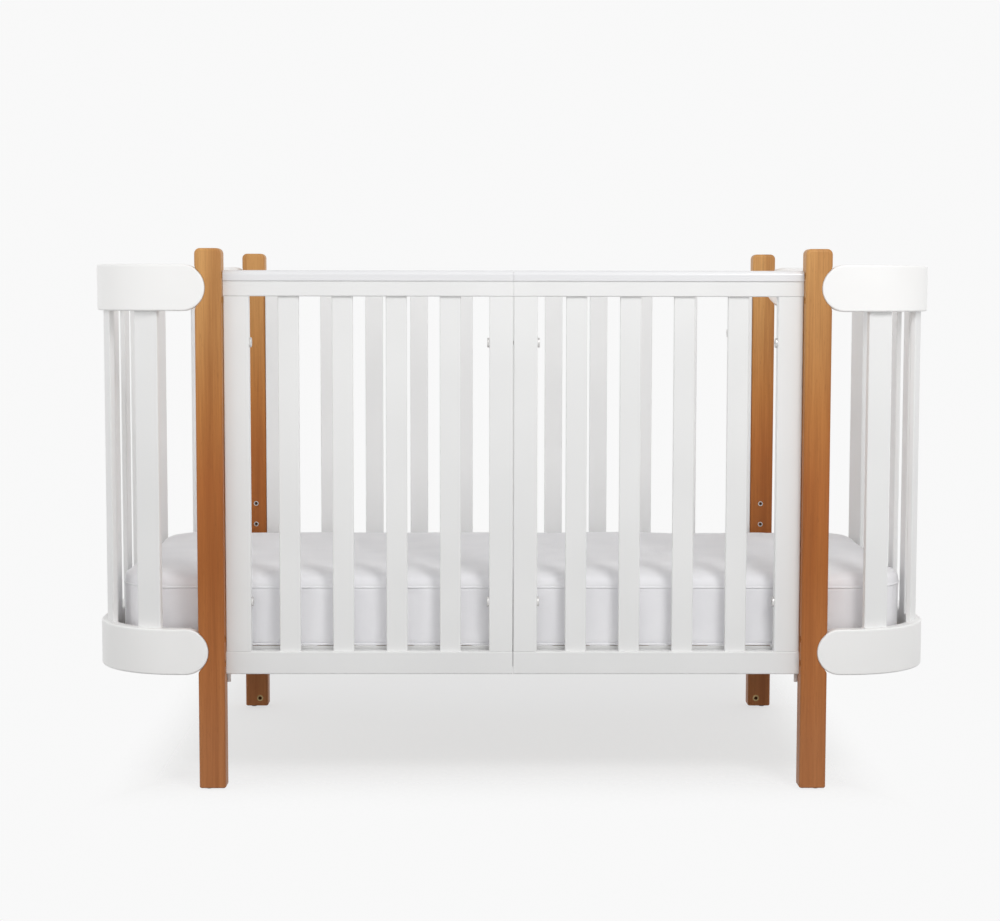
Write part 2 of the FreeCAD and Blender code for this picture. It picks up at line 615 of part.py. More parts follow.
# ---------------------------------------------------------------- base
def make_base():
    """Two long rails with a lip outside the slats, and a rounded board at each end, level on top."""
    rail_long = "(2 * (base_half - base_rail_end))"
    lip_long = "(2 * (base_half - end_board_wide - lip_gap))"
    for face, sy in FACES:
        rail = new_body(f"base_{face}_rail", ("0", signed(sy, f"{BASE_Y} - base_rail_wide / 2"), RAIL_LOW))
        block(rail, "Additive", "bar", ("0", "0", "base_rail_high / 2"),
              (rail_long, "base_rail_wide", "base_rail_high"))
        block(rail, "Additive", "lip",
              ("0", signed(sy, "(base_rail_wide - lip_wide) / 2"), "base_rail_high + base_board / 2"),
              (lip_long, "lip_wide", "base_board"))
        for side in (-1, 1):
            for apart in (-1, 1):
                bore(rail, "pilot_hole",
                     (f"{signed(side, LEVEL_X)} + {apart} * screw_apart / 2", "0", "0"), "+Z",
                     "screw_dia + 2 * screw_gap", "screw_long - bracket_thick + screw_gap")
    for side_name, side in SIDES:
        board = new_body(f"base_{side_name}_end_board",
                         (signed(side, "base_half - end_board_wide / 2"), "0", "base_top - base_board"))
        block(board, "Additive", "plate", ("0", "0", "base_board / 2"),
              ("end_board_wide", f"2 * {BASE_Y}", "base_board"))
        far = side * size("end_board_wide") / 2
        ease(board, "corners", "end_board_corner",
             lambda e, far=far: runs_along(e, Z) and flat_at(e, "X", far))
        for n in range(int(size("vents"))):
            y = f"{n - (size('vents') - 1) / 2} * vent_pitch"
            bore(board, "vent", ("0", y, "0"), "+Z", "vent_dia", f"base_board + {OVER}")
    slat = new_body("base_slat", keep=False)
    block(slat, "Additive", "strip", ("0", "0", "base_top - base_board / 2"),
          ("base_slat_wide", f"2 * ({BASE_Y} - lip_wide - lip_gap)", "base_board"))
    top = size("base_top")
    ease(slat, "top_edges", "base_slat_round", lambda e: runs_along(e, Y) and flat_at(e, "Z", top))
    first = (1 - size("base_slats")) / 2
    group("base_slats", slat, [Placement(Vector((first + n) * size("base_slat_pitch"), 0, 0), Rotation())
                               for n in range(int(size("base_slats")))])


def level_x():
    """Distance of the level inserts, and so of the base's bolts and brackets, from the crib's middle."""
    tip = size("leg_span") / 2 - size("band_in")
    return tip - size("band_gap") - size("insert_wall") - size("insert_dia") / 2 - size("thread_gap")


def make_brackets():
    """Steel angles that hang the base on the legs' bolts, by a slot that is open at its foot."""
    bracket = new_body("base_bracket", keep=False)
    tall = "(bracket_top - bracket_low)"
    block(bracket, "Additive", "plate",
          ("0", f"{PLATE_Y} + bracket_thick / 2", f"bracket_low + {tall} / 2"),
          ("bracket_wide", "bracket_thick", tall))
    block(bracket, "Additive", "flange",
          ("0", f"{PLATE_Y} + bracket_thick - (bracket_flange + bracket_thick) / 2",
           f"{RAIL_LOW} - bracket_thick / 2"),
          ("bracket_wide", "bracket_flange + bracket_thick", "bracket_thick"))
    slot = "(level_low + level_pair - bracket_low)"
    block(bracket, "Subtractive", "slot", ("0", PLATE_Y, f"bracket_low + {slot} / 2 - {OVER} / 2"),
          ("bolt_hole_dia", "4 * bracket_thick", f"{slot} + {OVER}"))
    rod(bracket, "Subtractive", "slot_top", ("0", f"{PLATE_Y} - {OVER}", "level_low + level_pair"), "+Y",
        "bolt_hole_dia", f"bracket_thick + 2 * {OVER}")
    gap = f"({PLATE_Y} - {BASE_Y})"
    block(bracket, "Subtractive", "head_notch",
          ("0", f"{PLATE_Y} - {gap} / 2", f"{RAIL_LOW} - bracket_thick / 2"),
          ("bracket_notch", gap, f"bracket_thick + {OVER}"))
    for apart in (-1, 1):
        bore(bracket, "screw_hole",
             (f"{apart} * screw_apart / 2", f"{BASE_Y} - base_rail_wide / 2",
              f"{RAIL_LOW} - bracket_thick"),
             "+Z", "screw_dia + 2 * screw_gap", f"bracket_thick + {OVER}")
    group("base_brackets", bracket,
          [Placement(Vector(sx * level_x(), 0, 0), Rotation(turn, 0, 0))
           for sx in (-1, 1) for turn in (0, 180)])


def make_bolt(name, head_dia, head_thick, long):
    """A bolt along +Z: head below z = 0, shank above it, a hexagon socket in the head."""
    bolt = new_body(name, keep=False)
    rod(bolt, "Additive", "head", ("0", "0", f"-({head_thick})"), "+Z", head_dia, head_thick)
    rod(bolt, "Additive", "shank", ("0", "0", "0"), "+Z", "bolt_dia", long)
    low = -size(head_thick)
    ease(bolt, "head_edge", f"{head_thick} / 3", lambda e: flat_at(e, "Z", low))
    socket = bolt.newObject("PartDesign::SubtractivePrism", "socket")
    socket.Polygon = 6
    tie(socket, "Circumradius", "socket_size / 2 / cos(30)")
    tie(socket, "Height", "socket_deep")
    tie(socket, "Placement.Base.z", f"-({head_thick})")
    return bolt


def make_insert(name, dia, bore_dia):
    """A threaded insert along +Z from z = 0, which is flush with the wood."""
    insert = new_body(name, keep=False)
    rod(insert, "Additive", "sleeve", ("0", "0", "0"), "+Z", dia, "insert_long")
    rod(insert, "Subtractive", "bore", ("0", "0", f"-{OVER}"), "+Z", bore_dia, f"insert_long + 2 * {OVER}")
    return insert


def make_hardware():
    """Inserts, bolts, nuts, screws and glides, each kind one group of equal solids."""
    leg_x = size("leg_span") / 2 - size("leg_wide") / 2
    leg_y = size("crib_deep") / 2 - size("leg_deep") / 2
    insert_x = level_x()
    inner_y = size("crib_deep") / 2 - size("leg_deep")
    panel_y = inner_y + size("panel_thick") / 2
    side_x = size("leg_span") / 2 - size("leg_wide")
    level_zs = [size("level_low") + step * size("level_step") + upper * size("level_pair")
                for step in range(int(size("levels"))) for upper in (0, 1)]
    bolt_zs = (size("panel_bolt_low"), size("panel_bolt_up"))
    four = [(sx, sy) for sx in (-1, 1) for sy in (-1, 1)]

    insert = make_insert("insert", "insert_dia", "bolt_dia + 2 * thread_gap")
    places = [Placement(Vector(sx * insert_x, sy * inner_y, z), AIM[aim(sy, "Y")])
              for sx, sy in four for z in level_zs]
    places += [Placement(Vector(sx * side_x, sy * panel_y, z), AIM[aim(sx, "X")])
               for sx, sy in four for z in bolt_zs]
    group("threaded_inserts", insert, places)

    foot_insert = make_insert("foot_insert", "foot_insert_dia", "foot_insert_bore")
    foot_x = insert_x - size("foot_insert_in")
    group("foot_inserts", foot_insert,
          [Placement(Vector(sx * foot_x, sy * inner_y, size("foot_insert_up")), AIM[aim(sy, "Y")])
           for sx, sy in four])

    base_bolt = make_bolt("base_bolt", "base_bolt_head_dia", "base_bolt_head_thick",
                          "2 * bracket_gap + bracket_thick + insert_long - bolt_short")
    head_y = inner_y - 2 * size("bracket_gap") - size("bracket_thick")
    group("base_bolts", base_bolt,
          [Placement(Vector(sx * insert_x, sy * head_y, z), AIM[aim(sy, "Y")])
           for sx, sy in four for z in level_zs[:2]])

    panel_bolt = make_bolt("panel_bolt", "panel_head_dia", "panel_head_thick",
                           "outer_stile_wide + panel_gap + insert_long - bolt_short")
    places = []
    for sy, stile in ((-1, "outer_stile_wide"), (1, "rear_stile_wide")):
        bolt_x = side_x - size("panel_gap") - size(stile)
        places += [Placement(Vector(sx * bolt_x, sy * panel_y, z), AIM[aim(sx, "X")])
                   for sx in (-1, 1) for z in bolt_zs]
    group("panel_bolts", panel_bolt, places)

    stile_x = size("panel_seam") / 2 + size("inner_stile_wide")
    centre_bolt = make_bolt("centre_bolt", "panel_head_dia", "panel_head_thick",
                            "inner_stile_wide + panel_seam + inner_stile_wide - centre_bolt_short")
    group("centre_bolts", centre_bolt,
          [Placement(Vector(-stile_x, -panel_y, z), AIM["+X"]) for z in bolt_zs])
    sleeve = make_sleeve_nut()
    group("centre_sleeve_nuts", sleeve,
          [Placement(Vector(stile_x, -panel_y, z), AIM["-X"]) for z in bolt_zs])

    band_bolt = make_bolt("band_bolt", "band_head_dia", "band_head_thick", "band_bolt_long")
    band_x = side_x + size("counterbore_deep")
    band_y = size("crib_deep") / 2 - size("band_thick") / 2
    band_zs = [size(f"{where}_band_mid") + sign * size("band_bolt_rise")
               for where in ("upper", "lower") for sign in (-1, 1)]
    group("band_bolts", band_bolt, [Placement(Vector(sx * band_x, sy * band_y, z), AIM[aim(sx, "X")])
                                    for sx, sy in four for z in band_zs])

    barrel = make_barrel_nut()
    barrel_x = size("leg_span") / 2 - size("band_in") + size("tip_hollow") + size("barrel_set")
    barrel_y = size("crib_deep") / 2 - size("band_thick")
    group("band_barrel_nuts", barrel, [Placement(Vector(sx * barrel_x, sy * barrel_y, z), AIM[aim(sy, "Y")])
                                       for sx, sy in four for z in band_zs])

    screw = make_screw()
    rail_low = size("base_top") - size("base_board") - size("base_rail_high")
    screw_y = inner_y - size("base_side_gap") - size("base_rail_wide") / 2
    group("base_screws", screw,
          [Placement(Vector(sx * insert_x + apart * size("screw_apart") / 2, sy * screw_y,
                            rail_low - size("bracket_thick")), Rotation())
           for sx, sy in four for apart in (-1, 1)])

    glide = make_glide()
    group("glides", glide, [Placement(Vector(sx * (leg_x + size("glide_out")), sy * leg_y, 0), Rotation())
                            for sx, sy in four])


def make_sleeve_nut():
    """The nut of a centre bolt: a head and a threaded sleeve along +Z."""
    nut = new_body("sleeve_nut", keep=False)
    rod(nut, "Additive", "head", ("0", "0", "-panel_head_thick"), "+Z",
        "panel_head_dia", "panel_head_thick")
    rod(nut, "Additive", "sleeve", ("0", "0", "0"), "+Z", "sleeve_dia", "sleeve_long")
    low = -size("panel_head_thick")
    ease(nut, "head_edge", "panel_head_thick / 3", lambda e: flat_at(e, "Z", low))
    rod(nut, "Subtractive", "bore", ("0", "0", "0"), "+Z",
        "bolt_dia + 2 * thread_gap", f"sleeve_long + {OVER}")
    return nut


def make_barrel_nut():
    """A cross dowel along +Z, with the bolt's threaded bore square through its middle."""
    nut = new_body("barrel_nut", keep=False)
    rod(nut, "Additive", "barrel", ("0", "0", "0"), "+Z", "barrel_dia", "barrel_long")
    rod(nut, "Subtractive", "bore", ("-barrel_dia", "0", "band_thick / 2"), "+X",
        "bolt_dia + 2 * thread_gap", "2 * barrel_dia")
    return nut


def make_screw():
    """A wood screw along +Z, its head below z = 0."""
    screw = new_body("base_screw", keep=False)
    rod(screw, "Additive", "head", ("0", "0", "-screw_head_thick"), "+Z",
        "screw_head_dia", "screw_head_thick")
    rod(screw, "Additive", "shank", ("0", "0", "0"), "+Z", "screw_dia", "screw_long")
    low = -size("screw_head_thick")
    ease(screw, "head_edge", "screw_head_thick / 2", lambda e: flat_at(e, "Z", low))
    return screw


def make_glide():
    """A nailed glide under a leg: a disc on the floor and its pin."""
    glide = new_body("glide", keep=False)
    rod(glide, "Additive", "disc", ("0", "0", "0"), "+Z", "glide_dia", "glide_high")
    ease(glide, "disc_edge", "glide_round", lambda e: flat_at(e, "Z", 0))
    rod(glide, "Additive", "pin", ("0", "0", "glide_high"), "+Z", "glide_pin_dia", "glide_pin_long")
    return glide


make_base()
make_brackets()
make_hardware()


# ---------------------------------------------------------------- mattress
def make_pad(body, kind, name, shrink):
    """A slab with rounded corners and edges, smaller than the cover's outside by shrink."""
    half_x = f"(base_half - mattress_end_gap - {shrink})"
    half_y = f"({BASE_Y} - mattress_side_gap - {shrink})"
    high = f"(mattress_high - 2 * ({shrink}))"
    return block(body, kind, name, ("0", "0", "base_top + mattress_lay + mattress_high / 2"),
                 (f"2 * {half_x}", f"2 * {half_y}", high))


def make_mattress():
    """The foam core, and the fitted cover round it, open underneath inside its hem."""
    core = new_body("mattress_core")
    inset = "(sheet_thick + sheet_gap)"
    make_pad(core, "Additive", "foam", inset)
    ease(core, "corners", f"mattress_corner - {inset}", lambda e: runs_along(e, Z))
    ease(core, "edges", f"mattress_round - {inset}", lambda e: not runs_along(e, Z))

    outside = new_body("cover_outside", keep=False)
    make_pad(outside, "Additive", "slab", "0")
    ease(outside, "corners", "mattress_corner", lambda e: runs_along(e, Z))
    ease(outside, "edges", "mattress_round", lambda e: not runs_along(e, Z))

    inside = new_body("cover_inside", keep=False)
    make_pad(inside, "Additive", "slab", "sheet_thick")
    ease(inside, "corners", "mattress_corner - sheet_thick", lambda e: runs_along(e, Z))
    ease(inside, "edges", "mattress_round - sheet_thick", lambda e: not runs_along(e, Z))

    opening = new_body("cover_opening", keep=False)
    block(opening, "Additive", "slab", ("0", "0", "base_top + mattress_lay"),
          ("2 * (base_half - mattress_end_gap - sheet_hem)",
           f"2 * ({BASE_Y} - mattress_side_gap - sheet_hem)",
           "mattress_high"))

    tools = doc.addObject("Part::MultiFuse", "cover_hollow")
    tools.Shapes = [inside, opening]
    cover = doc.addObject("Part::Cut", "mattress_cover")
    cover.Base, cover.Tool = outside, tools
    cover.Label = "mattress_cover"
    parts.append(cover)


make_mattress()

# ---------------------------------------------------------------- check and write
doc.recompute()
for thing in doc.Objects:
    if "Invalid" in thing.State or "Error" in thing.State:
        raise SystemExit(f"{thing.Label} failed: {thing.State}")
os.makedirs("parts", exist_ok=True)
for thing in parts:
    if thing.Shape.isNull() or not thing.Shape.isValid():
        raise SystemExit(f"{thing.Label} has no valid shape")
    thing.Shape.exportStep(f"parts/{thing.Label}.step")
print(len(parts), "nodes written,", sum(len(thing.Shape.Solids) for thing in parts), "solids")
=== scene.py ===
"""Looks of the baby crib: finishes on the CAD frame, the soft mattress, and a plain studio round it.

Metres, +Z up, the front faces -Y, as in the frame.
"""

import json
import math

import bmesh
import bpy
import numpy as np
from mathutils import Matrix, Vector
from mathutils.bvhtree import BVHTree


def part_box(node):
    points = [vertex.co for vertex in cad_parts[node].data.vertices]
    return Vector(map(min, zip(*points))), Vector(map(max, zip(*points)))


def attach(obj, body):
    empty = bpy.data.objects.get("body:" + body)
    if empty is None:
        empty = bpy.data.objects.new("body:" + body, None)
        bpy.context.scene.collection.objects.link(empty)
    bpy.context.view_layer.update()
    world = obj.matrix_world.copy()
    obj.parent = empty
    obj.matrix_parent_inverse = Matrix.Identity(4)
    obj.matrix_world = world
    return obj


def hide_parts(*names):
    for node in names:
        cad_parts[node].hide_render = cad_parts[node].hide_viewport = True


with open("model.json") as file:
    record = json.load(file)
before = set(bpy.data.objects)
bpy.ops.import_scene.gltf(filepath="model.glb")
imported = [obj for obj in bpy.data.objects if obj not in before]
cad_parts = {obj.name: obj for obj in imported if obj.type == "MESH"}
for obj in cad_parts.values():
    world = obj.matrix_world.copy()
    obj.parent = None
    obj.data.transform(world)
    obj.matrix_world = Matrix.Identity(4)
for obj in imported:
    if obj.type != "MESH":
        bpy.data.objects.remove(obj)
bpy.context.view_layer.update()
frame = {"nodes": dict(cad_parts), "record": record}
NODES = frame["nodes"]
SLOT_OF = {part["node"]: part["material_slot"] for part in frame["record"]["subparts"]}


def link(name, data):
    """A new object with this mesh, lamp or camera, in the scene."""
    thing = bpy.data.objects.new(name, data)
    bpy.context.scene.collection.objects.link(thing)
    return thing


# ---------------------------------------------------------------- camera
# Solved as a pinhole from the corners of the legs, bands and rails.
CAMERA_PLACE = (-0.047, -3.729, 0.826)
CAMERA_YAW, CAMERA_PITCH, CAMERA_ROLL = 0.43, 4.84, -0.086      # degrees right, down and clockwise
CAMERA_LENS, CAMERA_SENSOR = 75.74, 36                          # mm


def make_camera():
    """A camera in front of the crib, a little above its middle, looking slightly down."""
    yaw, pitch, roll = (math.radians(angle) for angle in (CAMERA_YAW, CAMERA_PITCH, CAMERA_ROLL))
    forward = Vector((math.sin(yaw) * math.cos(pitch), math.cos(yaw) * math.cos(pitch),
                      -math.sin(pitch)))
    level_right = Vector((math.cos(yaw), -math.sin(yaw), 0))
    level_down = forward.cross(level_right)
    right = math.cos(roll) * level_right + math.sin(roll) * level_down
    up = math.sin(roll) * level_right - math.cos(roll) * level_down
    data = bpy.data.cameras.new("camera")
    data.sensor_width = CAMERA_SENSOR
    data.lens = CAMERA_LENS
    camera = link("camera", data)
    axes = Matrix((right, up, -forward)).transposed().to_4x4()
    camera.matrix_world = Matrix.Translation(CAMERA_PLACE) @ axes
    bpy.context.scene.camera = camera


# ---------------------------------------------------------------- materials
class Nodes:
    """Short calls for building one material's node tree."""

    def __init__(self, name):
        self.material = bpy.data.materials.new(name)
        self.material.use_nodes = True
        self.tree = self.material.node_tree
        self.shader = self.tree.nodes["Principled BSDF"]
        self.place = self.add("ShaderNodeTexCoord").outputs["Object"]

    def add(self, kind, **settings):
        node = self.tree.nodes.new(kind)
        for field, value in settings.items():
            setattr(node, field, value)
        return node

    def plug(self, socket, value):
        """A socket takes a link from another socket, or a plain value."""
        if isinstance(value, bpy.types.NodeSocket):
            self.tree.links.new(value, socket)
        else:
            socket.default_value = value

    def stretch(self, scale, turn=(0, 0, 0)):
        """Object coordinates times a scale along each axis."""
        node = self.add("ShaderNodeMapping")
        self.plug(node.inputs["Vector"], self.place)
        node.inputs["Scale"].default_value = scale
        node.inputs["Rotation"].default_value = turn
        return node.outputs["Vector"]

    def noise(self, vector, scale=1.0, detail=3.0, rough=0.5, warp=0.0):
        node = self.add("ShaderNodeTexNoise")
        self.plug(node.inputs["Vector"], vector)
        for field, value in (("Scale", scale), ("Detail", detail), ("Roughness", rough),
                             ("Distortion", warp)):
            node.inputs[field].default_value = value
        return node.outputs["Fac"]

    def wave(self, vector, scale, axis):
        node = self.add("ShaderNodeTexWave", bands_direction=axis)
        self.plug(node.inputs["Vector"], vector)
        node.inputs["Scale"].default_value = scale
        return node.outputs["Fac"]

    def ramp(self, value, stops):
        """Colours at positions from 0 to 1."""
        node = self.add("ShaderNodeValToRGB")
        self.plug(node.inputs["Fac"], value)
        elements = node.color_ramp.elements
        while len(elements) < len(stops):
            elements.new(0.5)
        for element, (position, colour) in zip(elements, stops):
            element.position = position
            element.color = (*colour, 1)
        return node.outputs["Color"]

    def fit(self, value, low, high, to_low, to_high):
        """A value carried smoothly from one range to another, and kept inside it."""
        node = self.add("ShaderNodeMapRange", interpolation_type="SMOOTHSTEP")
        for socket, number in zip(node.inputs, (value, low, high, to_low, to_high)):
            self.plug(socket, number)
        return node.outputs["Result"]

    def calc(self, operation, first, second=0.0):
        node = self.add("ShaderNodeMath", operation=operation)
        self.plug(node.inputs[0], first)
        self.plug(node.inputs[1], second)
        return node.outputs["Value"]

    def mix(self, factor, first, second, blend="MIX"):
        node = self.add("ShaderNodeMix", data_type="RGBA", blend_type=blend)
        self.plug(node.inputs["Factor"], factor)
        for socket, colour in ((node.inputs["A"], first), (node.inputs["B"], second)):
            self.plug(socket, colour if isinstance(colour, bpy.types.NodeSocket) else (*colour, 1))
        return node.outputs["Result"]

    def axis(self, letter):
        node = self.add("ShaderNodeSeparateXYZ")
        self.plug(node.inputs[0], self.place)
        return node.outputs[letter]

    def bump(self, height, strength, distance):
        node = self.add("ShaderNodeBump")
        self.plug(node.inputs["Height"], height)
        node.inputs["Strength"].default_value = strength
        node.inputs["Distance"].default_value = distance
        if self.shader.inputs["Normal"].is_linked:
            self.plug(node.inputs["Normal"], self.shader.inputs["Normal"].links[0].from_socket)
        self.plug(self.shader.inputs["Normal"], node.outputs["Normal"])

    def set(self, **values):
        """Principled inputs by name, with underscores for spaces."""
        for field, value in values.items():
            self.plug(self.shader.inputs[field.replace("_", " ")], value)


LEG_HIGH = 0.88


def stained_beech():
    """Beech under a stain, with painted light: the stain is lighter towards the top of the leg and
    darkest a little below its middle, as the light falls; long streaks, pores and short flecks along Z.
    """
    m = Nodes("stained_beech")
    # Painted light: this stain's tone follows the height on the leg, lighter at the top where more
    # light falls and darkest a little below the middle.
    stain_and_painted_light = m.ramp(m.calc("MULTIPLY", m.axis("Z"), 1 / LEG_HIGH), (
        (0.09, (0.448, 0.170, 0.058)), (0.20, (0.440, 0.158, 0.045)), (0.42, (0.403, 0.130, 0.026)),
        (0.57, (0.433, 0.144, 0.031)), (0.70, (0.480, 0.190, 0.046)), (0.84, (0.520, 0.245, 0.075)),
        (0.98, (0.585, 0.300, 0.100))))
    streaks = m.noise(m.stretch((26, 26, 0.9)), detail=5, rough=0.6, warp=0.4)
    streak_tone = m.ramp(streaks, ((0.28, (0.74, 0.64, 0.56)), (0.48, (0.98, 0.96, 0.95)),
                                   (0.62, (1.10, 1.14, 1.18)), (0.80, (1.20, 1.32, 1.44))))
    tone = m.mix(1.0, stain_and_painted_light, streak_tone, "MULTIPLY")
    pores = m.noise(m.stretch((420, 420, 9)), detail=4, rough=0.65)
    tone = m.mix(m.fit(pores, 0.35, 0.75, 0.0, 0.30), tone, (0.20, 0.065, 0.016))
    flecks = m.noise(m.stretch((650, 650, 75)), detail=1)
    tone = m.mix(m.fit(flecks, 0.64, 0.74, 0.0, 0.16), tone, (0.16, 0.05, 0.014))
    m.set(Base_Color=tone, Roughness=m.fit(pores, 0.3, 0.8, 0.42, 0.55), Specular_IOR_Level=0.25)
    m.bump(pores, 0.12, 0.0004)
    return m.material


def lacquer(name, grain, colour=(0.83, 0.83, 0.825)):
    """Satin white lacquer over wood, whose grain's direction is in its scale on each axis."""
    m = Nodes(name)
    wood = m.noise(m.stretch(grain), detail=4, rough=0.6)
    peel = m.noise(m.place, scale=900, detail=2)
    cloud = m.noise(m.place, scale=5.5, detail=2)
    shade = tuple(0.965 * channel for channel in colour)
    m.set(Base_Color=m.mix(m.fit(cloud, 0.3, 0.7, 0.0, 1.0), shade, colour),
          Roughness=m.fit(peel, 0.3, 0.7, 0.34, 0.44), Coat_Weight=0.12, Coat_Roughness=0.25)
    m.bump(wood, 0.10, 0.0004)
    m.bump(peel, 0.05, 0.0002)
    return m.material


def rail_plastic():
    """Glossy white plastic of the rail covers, with faint draw lines along X."""
    m = Nodes("rail_plastic")
    lines = m.noise(m.stretch((3, 260, 260)), detail=3)
    m.set(Base_Color=m.ramp(lines, ((0.3, (0.76, 0.76, 0.775)), (0.7, (0.79, 0.79, 0.80)))),
          Roughness=m.fit(lines, 0.3, 0.7, 0.16, 0.24), Specular_IOR_Level=0.5)
    m.bump(lines, 0.05, 0.0003)
    return m.material


def plated_steel(name, dull, bright):
    """Plated steel with fine scratches and a cloudy tone."""
    m = Nodes(name)
    cloud = m.noise(m.place, scale=120, detail=4)
    scratch = m.noise(m.stretch((900, 900, 140)), detail=3)
    m.set(Metallic=1.0, Base_Color=m.ramp(cloud, ((0.3, dull), (0.7, bright))),
          Roughness=m.fit(scratch, 0.3, 0.7, 0.28, 0.45))
    m.bump(scratch, 0.08, 0.0002)
    return m.material


def glide_plastic():
    """Dark moulded plastic of the glides, scuffed where it meets the floor."""
    m = Nodes("glide_plastic")
    scuff = m.noise(m.place, scale=600, detail=4)
    m.set(Base_Color=m.ramp(scuff, ((0.35, (0.03, 0.022, 0.018)), (0.8, (0.09, 0.07, 0.06)))),
          Roughness=m.fit(scuff, 0.3, 0.7, 0.45, 0.65))
    m.bump(scuff, 0.1, 0.0003)
    return m.material


def bare_wood(name, grain):
    """Clear birch of the base, with growth rings along the grain."""
    m = Nodes(name)
    streaks = m.noise(m.stretch(grain), detail=6, rough=0.62, warp=0.6)
    pores = m.noise(m.stretch(tuple(14 * step for step in grain)), detail=3)
    tone = m.ramp(streaks, ((0.25, (0.52, 0.37, 0.21)), (0.5, (0.63, 0.47, 0.29)),
                            (0.75, (0.70, 0.55, 0.37))))
    tone = m.mix(m.fit(pores, 0.45, 0.8, 0.0, 0.35), tone, (0.40, 0.26, 0.14))
    m.set(Base_Color=tone, Roughness=m.fit(pores, 0.3, 0.7, 0.5, 0.62))
    m.bump(pores, 0.12, 0.0004)
    return m.material


COTTON_TONES = ((0.3, (0.88, 0.875, 0.90)), (0.7, (0.92, 0.915, 0.935)))
WEAVE_SCALE = 1100


def woven_cotton():
    """White cotton of the mattress cover: a plain weave, slubs and a soft sheen."""
    m = Nodes("woven_cotton")
    across, along, upright = (m.wave(m.place, WEAVE_SCALE, axis) for axis in "XYZ")
    threads = m.calc("MAXIMUM", across, m.calc("MAXIMUM", along, upright))
    slubs = m.noise(m.stretch((90, 700, 700)), detail=3)
    cloud = m.noise(m.place, scale=14, detail=3)
    tone = m.mix(m.fit(slubs, 0.55, 0.8, 0.0, 0.25), m.ramp(cloud, COTTON_TONES), (0.82, 0.81, 0.83))
    m.set(Base_Color=tone, Roughness=m.fit(threads, 0.0, 1.0, 0.95, 0.80),
          Sheen_Weight=0.25, Sheen_Roughness=0.5)
    m.bump(threads, 0.25, 0.0003)
    m.bump(slubs, 0.10, 0.0004)
    return m.material


def piping_tape():
    """Twilled cotton tape of the piping and the stitches: fine slanting ribs."""
    m = Nodes("piping_tape")
    ribs = m.wave(m.stretch((1, 1, 1), (0, 0, 0.6)), 900, "DIAGONAL")
    cloud = m.noise(m.place, scale=60, detail=3)
    m.set(Base_Color=m.ramp(cloud, COTTON_TONES), Roughness=m.fit(ribs, 0.0, 1.0, 0.9, 0.75),
          Sheen_Weight=0.2)
    m.bump(ribs, 0.3, 0.0003)
    return m.material


def open_foam():
    """Cream open-cell foam, painted darker in its cell pits as painted shade."""
    m = Nodes("open_foam")
    cells = m.add("ShaderNodeTexVoronoi")
    m.plug(cells.inputs["Vector"], m.place)
    cells.inputs["Scale"].default_value = 700
    pits_and_painted_shade = cells.outputs["Distance"]
    # Painted shade: the colour darkens where the bump's pits are deepest.
    m.set(Base_Color=m.ramp(pits_and_painted_shade, ((0.1, (0.62, 0.57, 0.44)), (0.6, (0.80, 0.76, 0.64)))),
          Roughness=m.fit(pits_and_painted_shade, 0.0, 0.7, 1.0, 0.9))
    m.bump(pits_and_painted_shade, 0.5, 0.0008)
    return m.material


# Grain: the noise's scale on each axis, lowest along the wood.
UPRIGHT_GRAIN, LENGTHWISE_GRAIN = (260, 260, 6), (6, 260, 260)
BAND_GRAIN, SLAT_GRAIN = (40, 40, 300), (34, 1.2, 34)


def dress_frame():
    """Give every CAD node the finish of what it is made of, with the grain along its length; the base's
    white is painted greyer, as painted shade under the mattress.
    """
    by_slot = {"beech_stain": stained_beech(), "rail_cover": rail_plastic(), "glide": glide_plastic(),
               "steel": plated_steel("plated_steel", (0.60, 0.59, 0.58), (0.72, 0.71, 0.70))}
    yellow_steel = plated_steel("yellow_plated_steel", (0.26, 0.18, 0.085), (0.38, 0.28, 0.14))
    white_upright = lacquer("lacquer_upright", UPRIGHT_GRAIN)
    white_long = lacquer("lacquer_lengthwise", LENGTHWISE_GRAIN)
    # The base's lacquer is painted greyer than the other white parts: painted shade, for the shadow
    # under the mattress and panels.
    white_by_group = {"band": lacquer("lacquer_band", BAND_GRAIN, (0.915, 0.91, 0.90)),
                      "base": lacquer("lacquer_base_painted_shade", LENGTHWISE_GRAIN, (0.76, 0.755, 0.75))}
    by_slot["bare_wood"] = bare_wood("birch_slats", SLAT_GRAIN)
    for name, node in NODES.items():
        slot = SLOT_OF[name]
        if slot == "white_lacquer":
            by_length = white_long if name.endswith("rail") else white_upright
            finish = white_by_group.get(name.split("_")[0], by_length)
        elif name == "foot_inserts":
            finish = yellow_steel
        else:
            finish = by_slot.get(slot, by_slot["steel"])    # the mattress is replaced later
        node.data.materials.clear()
        node.data.materials.append(finish)
        for polygon in node.data.polygons:
            polygon.material_index = 0


# ---------------------------------------------------------------- mattress
VOXEL = 0.006               # size of the cloth's mesh
SMALLER = 0.003             # the pad starts this much inside the CAD mattress, and swells back
SWELL = 0.005               # the most that a point of it may move
HOLD = 0.0005               # the most that it may move inwards, because the foam holds it out
CLOTH_FRAMES = 20           # length of the simulation
CLOTH_PRESSURE = 4
TOP_ROLL = 0.017            # how far the top edge leans in along the sides
END_ROLL = 0.011            # and at the crib's ends
ENDS_FROM, ENDS_OVER = 0.52, 0.08       # from the crib's middle: where the one turns into the other
ROLL_HIGH = 0.0215          # how far below the top the lean starts
FOOT_ROLL = 0.003           # radius of the lower edge
LEAST_GAP = 0.0002          # to the base, kept when the folds are laid
CORNER = 0.098              # in plan
SEAM_DROP = 0.0235          # upper piping below the top
SEAM_CORD, FOOT_CORD = 0.0015, 0.0020   # radii of the two pipings
FOOT_SEAM = 0.0021          # lower piping above the base
FOOT_SEAM_FROM = 0.0075     # height on the skin that gives its path in plan
